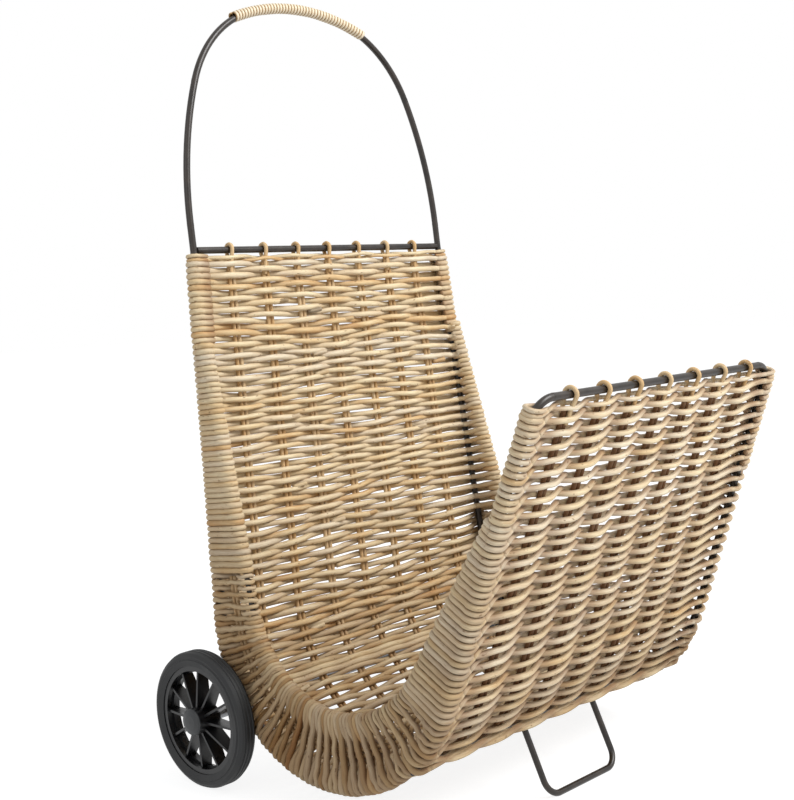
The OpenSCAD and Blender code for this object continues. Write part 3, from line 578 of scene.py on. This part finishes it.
# %% Cut butts
BUTTS, BUTT_R, BUTT_LEN = 22, 2.7, 18.0
butt_s = pair_s[rng.integers(4, 50, BUTTS)]
butt_q = rng.integers(1, BAYS, BUTTS) + 0.22
butt_x = share_of(butt_q) * half_width(butt_s)[0]
g = np.linspace(0, 1, 6)[None, :]
butts = panel_3d(butt_x[:, None] + BUTT_LEN * g - 6.0, butt_s[:, None] + 3.4 - 2.0 * g,
                 -3.5 - 4.5 * g)
# painted shade on the butts, with a fixed darker, greyer tint
obj = rods("willow_butts", butts, BUTT_R, down_path(butt_s)[:, None, :],
           np.full(butts.shape[:2], 0.3), rng.random(BUTTS), np.full(butts.shape[:2], 0.2))
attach(obj, "frame")
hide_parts("back_weavers")
willow_pieces.append(obj)

# %% [markdown]
# ## The stakes and their eyes
# Seven bundles of two thin rods run down the carrier between the rods of every pair. Each is
# tied to the crossbar and to the front rail by a rod that goes over the bar and comes back.

# %% Stakes
STAKE_ENDS, STAKE_GAP = 14.0, 3.1       # from the bars' lines, and from a bundle's middle
EYE_R, EYE_ROD_R, EYE_REACH = 6.7, 2.4, 30.0
ACROSS = np.array([1.0, 0, 0])
s_line = np.linspace(STAKE_ENDS, RAIL_LEN - STAKE_ENDS, 240)


def eye_line(s_bar, towards, share):
    """A rod's line over a bar: up the inner face, a half circle of EYE_R round the bar and
    down the outer face. Distances along the path are measured from the bar."""
    b = np.radians(np.linspace(0, 180, 13))
    leg = np.linspace(EYE_REACH, 5.0, 10)
    stand = np.interp(leg, [5.0, 14.0, EYE_REACH], [5.6, 3.6, 2.0])
    s = s_bar + towards * np.concatenate([leg, -EYE_R * np.sin(b), leg[::-1]])
    out = np.concatenate([-stand, -EYE_R * np.cos(b), stand[::-1]])
    base, _ = half_width(np.clip(s, 0, RAIL_LEN))
    return panel_3d(share * base + np.linspace(-2.6, 2.8, len(s)), s, out)


stake_pieces = []
for j in range(1, BAYS):
    base, _ = half_width(s_line)
    pair_x = share_of(j) * base[None, :] + np.array([[-STAKE_GAP], [STAKE_GAP]])
    line = panel_3d(pair_x, s_line[None, :],
                    wander(pair_x.shape, 0.4) + swell(s_line)[None, :])
    # painted shade: the stakes darken towards the front, where they stand in the shaded windows
    straight = rods(f"stake_rods_{j}", line, STAKE_R * (1 + wander(pair_x.shape, 0.05)),
                    ACROSS, sides=6,
                    shade=np.tile(np.interp(s_line, [650, 850], [0.15, 1.0]), (2, 1)))
    eyes = np.stack([eye_line(0.0, 1.0, share_of(j)), eye_line(RAIL_LEN, -1.0, share_of(j))])
    # a little painted shade on the eyes
    loops = rods(f"stake_eyes_{j}", smooth(eyes), EYE_ROD_R, ACROSS,
                 shade=np.full(eyes.shape[:2], 0.12))
    for piece in (straight, loops):
        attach(piece, "frame")
        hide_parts(f"stake_{j}")
        stake_pieces.append(piece)

# %% Stakes of the gussets
wide_s = row_s[woven[:, 0]]
s_wide = np.linspace(wide_s.min() - 4, wide_s.max() + 4, 90)
middle_a = span_at(s_wide, 0.0)[5] * 0.5
for side, name in ((-1, "left"), (1, "right")):
    line = np.stack([gusset_3d(side, s_wide, middle_a + apart, 0.0, 0.0)
                     for apart in (-3.0, 3.0)])
    # a little painted shade on the gussets' stakes
    piece = rods(f"gusset_stake_{name}", line, STAKE_R, ACROSS,
                 shade=np.full(line.shape[:2], 0.2), sides=6)
    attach(piece, "frame")
    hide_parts(f"side_stake_{name}")
    stake_pieces.append(piece)

# %% [markdown]
# ## The grip
# Flat cane is wound tightly round the crown of the handle. It is a helix about the crown's
# arc, with a flat, slightly rounded section, 45 turns in all. The arch is drawn as a maker
# bends it, from the crossbar's end upwards: a long side arc, a tight shoulder, then the crown.

# %% Grip
SIDE_R, SIDE_LEAN = 452.0, math.radians(21.6)
SHOULDER_R, SHOULDER_TURN = 152.5, math.radians(53.4)
ARCH_FOOT = 29.5                        # the side arcs' centres above the crossbar
turn_1 = math.pi / 2 - SIDE_LEAN
turn_2 = turn_1 - SHOULDER_TURN
side_end = (-HALF_W + SIDE_R - SIDE_R * math.sin(turn_1),
            ARCH_FOOT + SIDE_R * math.cos(turn_1))
shoulder = (side_end[0] + SHOULDER_R * math.sin(turn_1),
            side_end[1] - SHOULDER_R * math.cos(turn_1))
crown_end = (shoulder[0] - SHOULDER_R * math.sin(turn_2),
             shoulder[1] + SHOULDER_R * math.cos(turn_2))
crown_r = -crown_end[0] / math.sin(turn_2)
crown_up = crown_end[1] - crown_r * math.cos(turn_2)

TURNS, RING = 45, 26                    # turns of cane, and points round each
CANE_W, CANE_T, CANE_R = 4.75, 2.1, 4.35        # width, thickness, radius of its inner face
GRIP_LEN = 2 * 111.6 + 4.0
SECTION = np.array([[-0.5, 0], [-0.5, 0.5], [-0.34, 0.86], [0.0, 1.0],
                    [0.34, 0.86], [0.5, 0.5], [0.5, 0]])        # in widths and thicknesses
i = np.arange(TURNS * RING + 1)
along = (i / (TURNS * RING) - 0.5) * (GRIP_LEN - CANE_W)
angle = (2 * np.pi * i / RING)[:, None]
out = CANE_R + SECTION[None, :, 1] * CANE_T * (1 + 0.05 * np.sin(i / 41.0))[:, None]
turn = (along[:, None] + SECTION[None, :, 0] * CANE_W) / crown_r
flat_x = (crown_r + out * np.cos(angle)) * np.sin(turn)
flat_up = crown_up + (crown_r + out * np.cos(angle)) * np.cos(turn)
flat_out = out * np.sin(angle)
y0, z0, _ = on_path(RAIL, 0.0)
verts = np.stack([
    flat_x,
    y0 + SHIFT_Y + flat_up * math.sin(RAIL.back) + flat_out * math.cos(RAIL.back),
    z0 + flat_up * math.cos(RAIL.back) - flat_out * math.sin(RAIL.back)], -1)
idx = np.arange(len(i) * len(SECTION)).reshape(-1, len(SECTION))
nxt = np.roll(idx, -1, axis=1)
quads = np.stack([idx[:-1], nxt[:-1], nxt[1:], idx[1:]], -1).reshape(-1, 4)
caps = np.stack([idx[0, ::-1], idx[-1]])
grip = new_mesh("cane_grip", verts.reshape(-1, 3), quads, caps)
GRAIN_STEP = 2.2                        # how fast the pattern runs along the cane
cane_grain = np.broadcast_arrays((i * GRAIN_STEP)[:, None], SECTION[None, :, 0] * CANE_W, out)
keep(grip, "grain", "FLOAT_VECTOR", "vector", np.stack(cane_grain, -1))
# painted shade: the cane darkens towards its edges, in the creases between turns
cane_edge_shade = 1 - np.sin(np.pi * (SECTION[:, 0] + 0.5))
keep(grip, "shade", "FLOAT", "value", np.broadcast_to(cane_edge_shade, (len(i), len(SECTION))))
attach(grip, "frame")
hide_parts("grip_binding")
print("grip:", TURNS, "turns of cane over", GRIP_LEN, "mm")

# %% [markdown]
# ## Finishes
# A material starts from what the thing is made of. Colours are written as they look on
# screen, in sRGB hex, and one function turns them linear.


# %% Node helpers
def linear(code):
    """sRGB hex to linear: below 0.04045 divide by 12.92, else ((c + 0.055) / 1.055) ** 2.4."""
    c = [int(code[i:i + 2], 16) / 255 for i in (1, 3, 5)]
    return tuple(v / 12.92 if v <= 0.04045 else ((v + 0.055) / 1.055) ** 2.4 for v in c) + (1.0,)


def add(tree, kind, inputs=None, stops=(), **settings):
    """Adds one node. A setting with an input's name sets that input, and any other sets the
    node. inputs maps an input's name or number to its value or to the socket that feeds it,
    and stops are the places and hex colours of a colour ramp."""
    n = tree.nodes.new("ShaderNode" + kind)
    for key, value in settings.items():
        name = key.replace("_", " ")
        if name in n.inputs:
            n.inputs[name].default_value = value
        else:
            setattr(n, key, value)
    for key, value in (inputs or {}).items():
        if isinstance(value, bpy.types.NodeSocket):
            tree.links.new(value, n.inputs[key])
        else:
            n.inputs[key].default_value = value
    if stops:
        points = n.color_ramp.elements
        while len(points) < len(stops):
            points.new(0.5)
        for point, (place, code) in zip(points, stops):
            point.position = place
            point.color = linear(code)
    return n


def clear_tree(owner):
    """Turns on the nodes of a material or a world and empties them."""
    owner.use_nodes = True
    owner.node_tree.nodes.clear()
    return owner.node_tree


def finish(name, **settings):
    """An empty material with one Principled shader; returns it with its tree and shader."""
    m = bpy.data.materials.new(name)
    tree = clear_tree(m)
    shader = add(tree, "BsdfPrincipled", **settings)
    add(tree, "OutputMaterial", {"Surface": shader.outputs[0]})
    return m, tree, shader


def dress(piece, material):
    """Gives a piece one material and no other."""
    piece.data.materials.clear()
    piece.data.materials.append(material)


# %% [markdown]
# ### Peeled willow
# The rods are peeled and dried, so they are matt and pale, and no two have the same colour:
# straw, golden, pinkish and grey lie side by side. Fine lines run along each rod and small
# brown knots break them. The grain is read from each rod's own coordinates in millimetres.

# %% Willow
# patterns in turns a millimetre, along the rod and across it
DRIFT = (0.022, 0.12, 0.12)             # a colour holds for some 45 mm of a rod
FIBRE = (0.07, 1.5, 1.5)                # fibres 14 mm long and 0.7 mm wide
KNOT = (0.16, 0.28, 0.28)               # knots 6 mm long and 3.5 mm wide


def willow(name, stops, dark, shade_power):
    """Willow in layers: the rod's own colour with a slow drift, fibres, knots, painted shade in
    the crevices, and a darker, greyer tint low down. Peeled wood is matt, so its shine is low
    and wide. Each layer multiplies the last one, but a knot covers it."""
    m, tree, shader = finish(name, Roughness=0.62, Specular_IOR_Level=0.35)
    grain = add(tree, "Attribute", attribute_name="grain").outputs["Vector"]
    tone_v, shade_v, low_tint_v = (add(tree, "Attribute", attribute_name=key).outputs["Fac"]
                              for key in ("tone", "shade", "low_tint"))
    slow = add(tree, "VectorMath", {0: grain, 1: DRIFT}, operation="MULTIPLY")
    drift = add(tree, "TexNoise", {"Vector": slow.outputs[0]}, Scale=1.0, Detail=3.0)
    mixed = add(tree, "Math", {0: drift.outputs["Fac"], 1: tone_v}, operation="ADD")
    spread = add(tree, "Math", {0: mixed.outputs[0], 1: 0.72, 2: -0.22},
                 operation="MULTIPLY_ADD")
    body = add(tree, "ValToRGB", {"Fac": spread.outputs[0]}, stops)
    fine = add(tree, "VectorMath", {0: grain, 1: FIBRE}, operation="MULTIPLY")
    fibre = add(tree, "TexNoise", {"Vector": fine.outputs[0]},
                Scale=1.0, Detail=4.0, Roughness=0.6)
    fibre_f = add(tree, "MapRange", {"Value": fibre.outputs["Fac"]},
                  From_Min=0.35, From_Max=0.7, To_Min=0.0, To_Max=0.5)
    streaked = add(tree, "Mix", {"Factor": fibre_f.outputs[0], 6: body.outputs["Color"],
                                 7: linear("#b98d5c")}, data_type="RGBA", blend_type="MULTIPLY")
    spot = add(tree, "VectorMath", {0: grain, 1: KNOT}, operation="MULTIPLY")
    knot = add(tree, "TexNoise", {"Vector": spot.outputs[0]}, Scale=1.0, Detail=1.0)
    knot_f = add(tree, "MapRange", {"Value": knot.outputs["Fac"]},
                 From_Min=0.69, From_Max=0.78, To_Min=0.0, To_Max=0.65)
    knotted = add(tree, "Mix", {"Factor": knot_f.outputs[0], 6: streaked.outputs[2],
                                7: linear("#7b5127")}, data_type="RGBA")
    # painted shade: the shade attribute turns the colour towards dark
    deep = add(tree, "Math", {0: shade_v, 1: shade_power}, operation="MULTIPLY")
    shaded = add(tree, "Mix", {"Factor": deep.outputs[0], 6: knotted.outputs[2],
                               7: linear(dark)}, data_type="RGBA", blend_type="MULTIPLY")
    # this value makes the colour darker and greyer low down
    low_tinted = add(tree, "Mix", {"Factor": low_tint_v, 6: shaded.outputs[2], 7: linear("#a0835a")},
               data_type="RGBA", blend_type="MULTIPLY")
    tree.links.new(low_tinted.outputs[2], shader.inputs["Base Color"])
    bump = add(tree, "Bump", {"Height": fibre.outputs["Fac"]}, Strength=0.35, Distance=0.0004)
    tree.links.new(bump.outputs[0], shader.inputs["Normal"])
    return m


# the last colour given to each willow is its painted shade's
WILLOW = willow("peeled_willow",
                [(0.0, "#dcb47c"), (0.2, "#e8cf9f"), (0.4, "#f1e3bd"),
                 (0.6, "#eedebb"), (0.8, "#ede3c9"), (1.0, "#f6ecd0")], "#86521f", 0.7)
STAKES = willow("stake_willow",
                [(0.0, "#dab57c"), (0.5, "#e6c898"), (1.0, "#eed8ae")], "#6b421e", 0.85)
for piece in willow_pieces:
    dress(piece, WILLOW)
for piece in stake_pieces:
    dress(piece, STAKES)
print("willow on", len(willow_pieces), "woven pieces and", len(stake_pieces), "stakes")

# %% [markdown]
# ### Split cane
# The grip's cane is the shiny outside of the rattan vine, cream and smoother than the willow.

# %% Cane
CANE, tree, shader = finish("split_cane", Roughness=0.42, Specular_IOR_Level=0.5)
grain = add(tree, "Attribute", attribute_name="grain").outputs["Vector"]
# painted shade in the creases between the turns of cane
edge_shade = add(tree, "Attribute", attribute_name="shade").outputs["Fac"]
# long fibres, 0.6 mm wide
lines = add(tree, "VectorMath", {0: grain, 1: (0.03, 1.8, 0.1)}, operation="MULTIPLY")
fibre = add(tree, "TexNoise", {"Vector": lines.outputs[0]}, Scale=1.0, Detail=3.0)
body = add(tree, "ValToRGB", {"Fac": fibre.outputs["Fac"]},
           [(0.3, "#e2d0ab"), (0.55, "#efe3c9"), (0.75, "#f4ebd8")])
edge_shaded = add(tree, "Mix", {"Factor": edge_shade, 6: body.outputs["Color"], 7: linear("#b3946a")},
            data_type="RGBA", blend_type="MULTIPLY")
tree.links.new(edge_shaded.outputs[2], shader.inputs["Base Color"])
bump = add(tree, "Bump", {"Height": fibre.outputs["Fac"]}, Strength=0.3, Distance=0.0003)
tree.links.new(bump.outputs[0], shader.inputs["Normal"])
dress(grip, CANE)
print("cane on", grip.name)

# %% [markdown]
# ### Painted bar, plastic, rubber and zinc
# The bar is mild steel under a thin satin coat of brown-black paint, a little uneven where it
# was brushed on. The wheels are moulded in black plastic with a solid rubber tyre, and the
# small parts of the axle are zinc plated. Their patterns are read in metres of the object.


# %% Metal, plastic and rubber
def coated(name, dark, light, scale, rough, bump_mm, metallic=0.0):
    """A smooth coat whose colour drifts between two shades, in scale patches a metre, with a
    fine grain in its bump and a shine that dulls a little where the coat is lighter."""
    m, tree, shader = finish(name, Roughness=rough, Metallic=metallic)
    where = add(tree, "TexCoord").outputs["Object"]
    cloud = add(tree, "TexNoise", {"Vector": where}, Scale=scale, Detail=4.0, Roughness=0.6)
    body = add(tree, "ValToRGB", {"Fac": cloud.outputs["Fac"]}, [(0.35, dark), (0.7, light)])
    tree.links.new(body.outputs["Color"], shader.inputs["Base Color"])
    fine = add(tree, "TexNoise", {"Vector": where}, Scale=scale * 14, Detail=2.0)
    rough_map = add(tree, "MapRange", {"Value": cloud.outputs["Fac"]}, From_Min=0.3,
                    From_Max=0.7, To_Min=rough - 0.06, To_Max=rough + 0.08)
    tree.links.new(rough_map.outputs[0], shader.inputs["Roughness"])
    bump = add(tree, "Bump", {"Height": fine.outputs["Fac"]},
               Strength=0.25, Distance=bump_mm * MM)
    tree.links.new(bump.outputs[0], shader.inputs["Normal"])
    return m


finish_of = {
    "steel": coated("painted_bar", "#19130f", "#30271f", 60.0, 0.33, 0.15),
    "tyre": coated("solid_rubber", "#0b0c0d", "#17181a", 45.0, 0.58, 0.25),
    "wheel": coated("moulded_black_plastic", "#08080a", "#121214", 90.0, 0.34, 0.08),
    "hub_cap": coated("moulded_cap", "#1c1e20", "#2b2d2f", 80.0, 0.4, 0.08),
    "bush": coated("natural_nylon", "#cfccc2", "#dedbd2", 80.0, 0.45, 0.05),
    "zinc": coated("zinc_plate", "#77797c", "#9a9c9f", 120.0, 0.38, 0.05, metallic=1.0),
}
coated_parts = [part for part in frame["record"]["subparts"]
                if part["material_slot"] in finish_of]
for part in coated_parts:
    dress(nodes[part["node"]], finish_of[part["material_slot"]])
print("finished CAD nodes:", len(coated_parts))

# %% [markdown]
# ## Floor, light and camera
# The cart stands on a pale floor in soft light, as in a catalogue. The floor shows white to
# the camera and keeps the cart's shadow, while the light that it throws back on the cart
# stays that of a plain pale floor.


# %% Floor
def by_ray(tree, unseen, seen):
    """Shows one shader to the camera and to reflections, and another to all other rays."""
    ray = add(tree, "LightPath").outputs
    direct = add(tree, "Math", {0: ray["Is Camera Ray"], 1: ray["Is Glossy Ray"]},
                 operation="MAXIMUM")
    pick = add(tree, "MixShader", {0: direct.outputs[0], 1: unseen.outputs[0],
                                   2: seen.outputs[0]})
    return pick.outputs[0]


FLOOR_HALF = 9                          # metres
floor_mesh = bpy.data.meshes.new("floor")
floor_mesh.from_pydata([(across * FLOOR_HALF, along * FLOOR_HALF, 0) for across, along
                        in ((-1, -1), (1, -1), (1, 1), (-1, 1))], [], [(0, 1, 2, 3)])
floor = bpy.data.objects.new("floor", floor_mesh)
bpy.context.scene.collection.objects.link(floor)
pale = bpy.data.materials.new("pale_floor")
tree = clear_tree(pale)
matt = add(tree, "BsdfDiffuse", Color=(0.72, 0.72, 0.72, 1))
shadowed = add(tree, "BsdfDiffuse", Color=(0.3, 0.3, 0.3, 1))
glow = add(tree, "Emission", Color=(1, 1, 1, 1), Strength=0.86)
shown = add(tree, "AddShader", {0: shadowed.outputs[0], 1: glow.outputs[0]})
add(tree, "OutputMaterial", {"Surface": by_ray(tree, matt, shown)})
dress(floor, pale)
print("floor:", 2 * FLOOR_HALF, "m square")

# %% World and lamps
world = bpy.data.worlds.new("studio")
bpy.context.scene.world = world
tree = clear_tree(world)
soft = add(tree, "Background", Color=(0.95, 0.97, 1.0, 1), Strength=0.56)
white = add(tree, "Background", Color=(1, 1, 1, 1), Strength=1.0)
add(tree, "OutputWorld", {"Surface": by_ray(tree, soft, white)})


def set_axes(obj, right, up, back, place):
    """Places an object by its own three axes and its origin, the columns of its matrix."""
    m = np.eye(4)
    m[:3] = np.column_stack([right, up, back, place])
    obj.matrix_world = Matrix(m.tolist())


def lamp(name, place, target, size, watts):
    """A square soft box at place that looks at target, all in metres."""
    data = bpy.data.lights.new(name, "AREA")
    data.size, data.energy = size, watts
    obj = bpy.data.objects.new(name, data)
    bpy.context.scene.collection.objects.link(obj)
    back = np.array(place, float) - np.array(target, float)
    back /= np.linalg.norm(back)
    right = np.cross((0, 0, 1.0), back)
    right /= np.linalg.norm(right)
    set_axes(obj, right, np.cross(back, right), back, place)
    print(name, "lamp:", watts, "W")


BELLY = (0, 0, 0.35)                    # both lamps look at the middle of the carrier
lamp("key", (1.0, -2.5, 3.0), BELLY, 2.0, 137)
lamp("side", (-2.8, -0.4, 1.9), BELLY, 1.8, 10)

# %% Camera
# The place and turn come from fitting the cart's own lines to the photograph.
cam_data = bpy.data.cameras.new("camera")
cam_data.sensor_width = 36.0
cam_data.lens = 62.06
camera = bpy.data.objects.new("camera", cam_data)
bpy.context.scene.collection.objects.link(camera)
set_axes(camera, right=(0.68037278, -0.73198997, -0.03582691),
         up=(0.09319072, 0.03792309, 0.99492579), back=(-0.72691703, -0.68025916, 0.09401651),
         place=(-1.2060, -1.0127, 0.5702))
bpy.context.scene.camera = camera
bpy.context.scene.view_settings.view_transform = "Standard"
print("camera:", cam_data.lens, "mm lens")
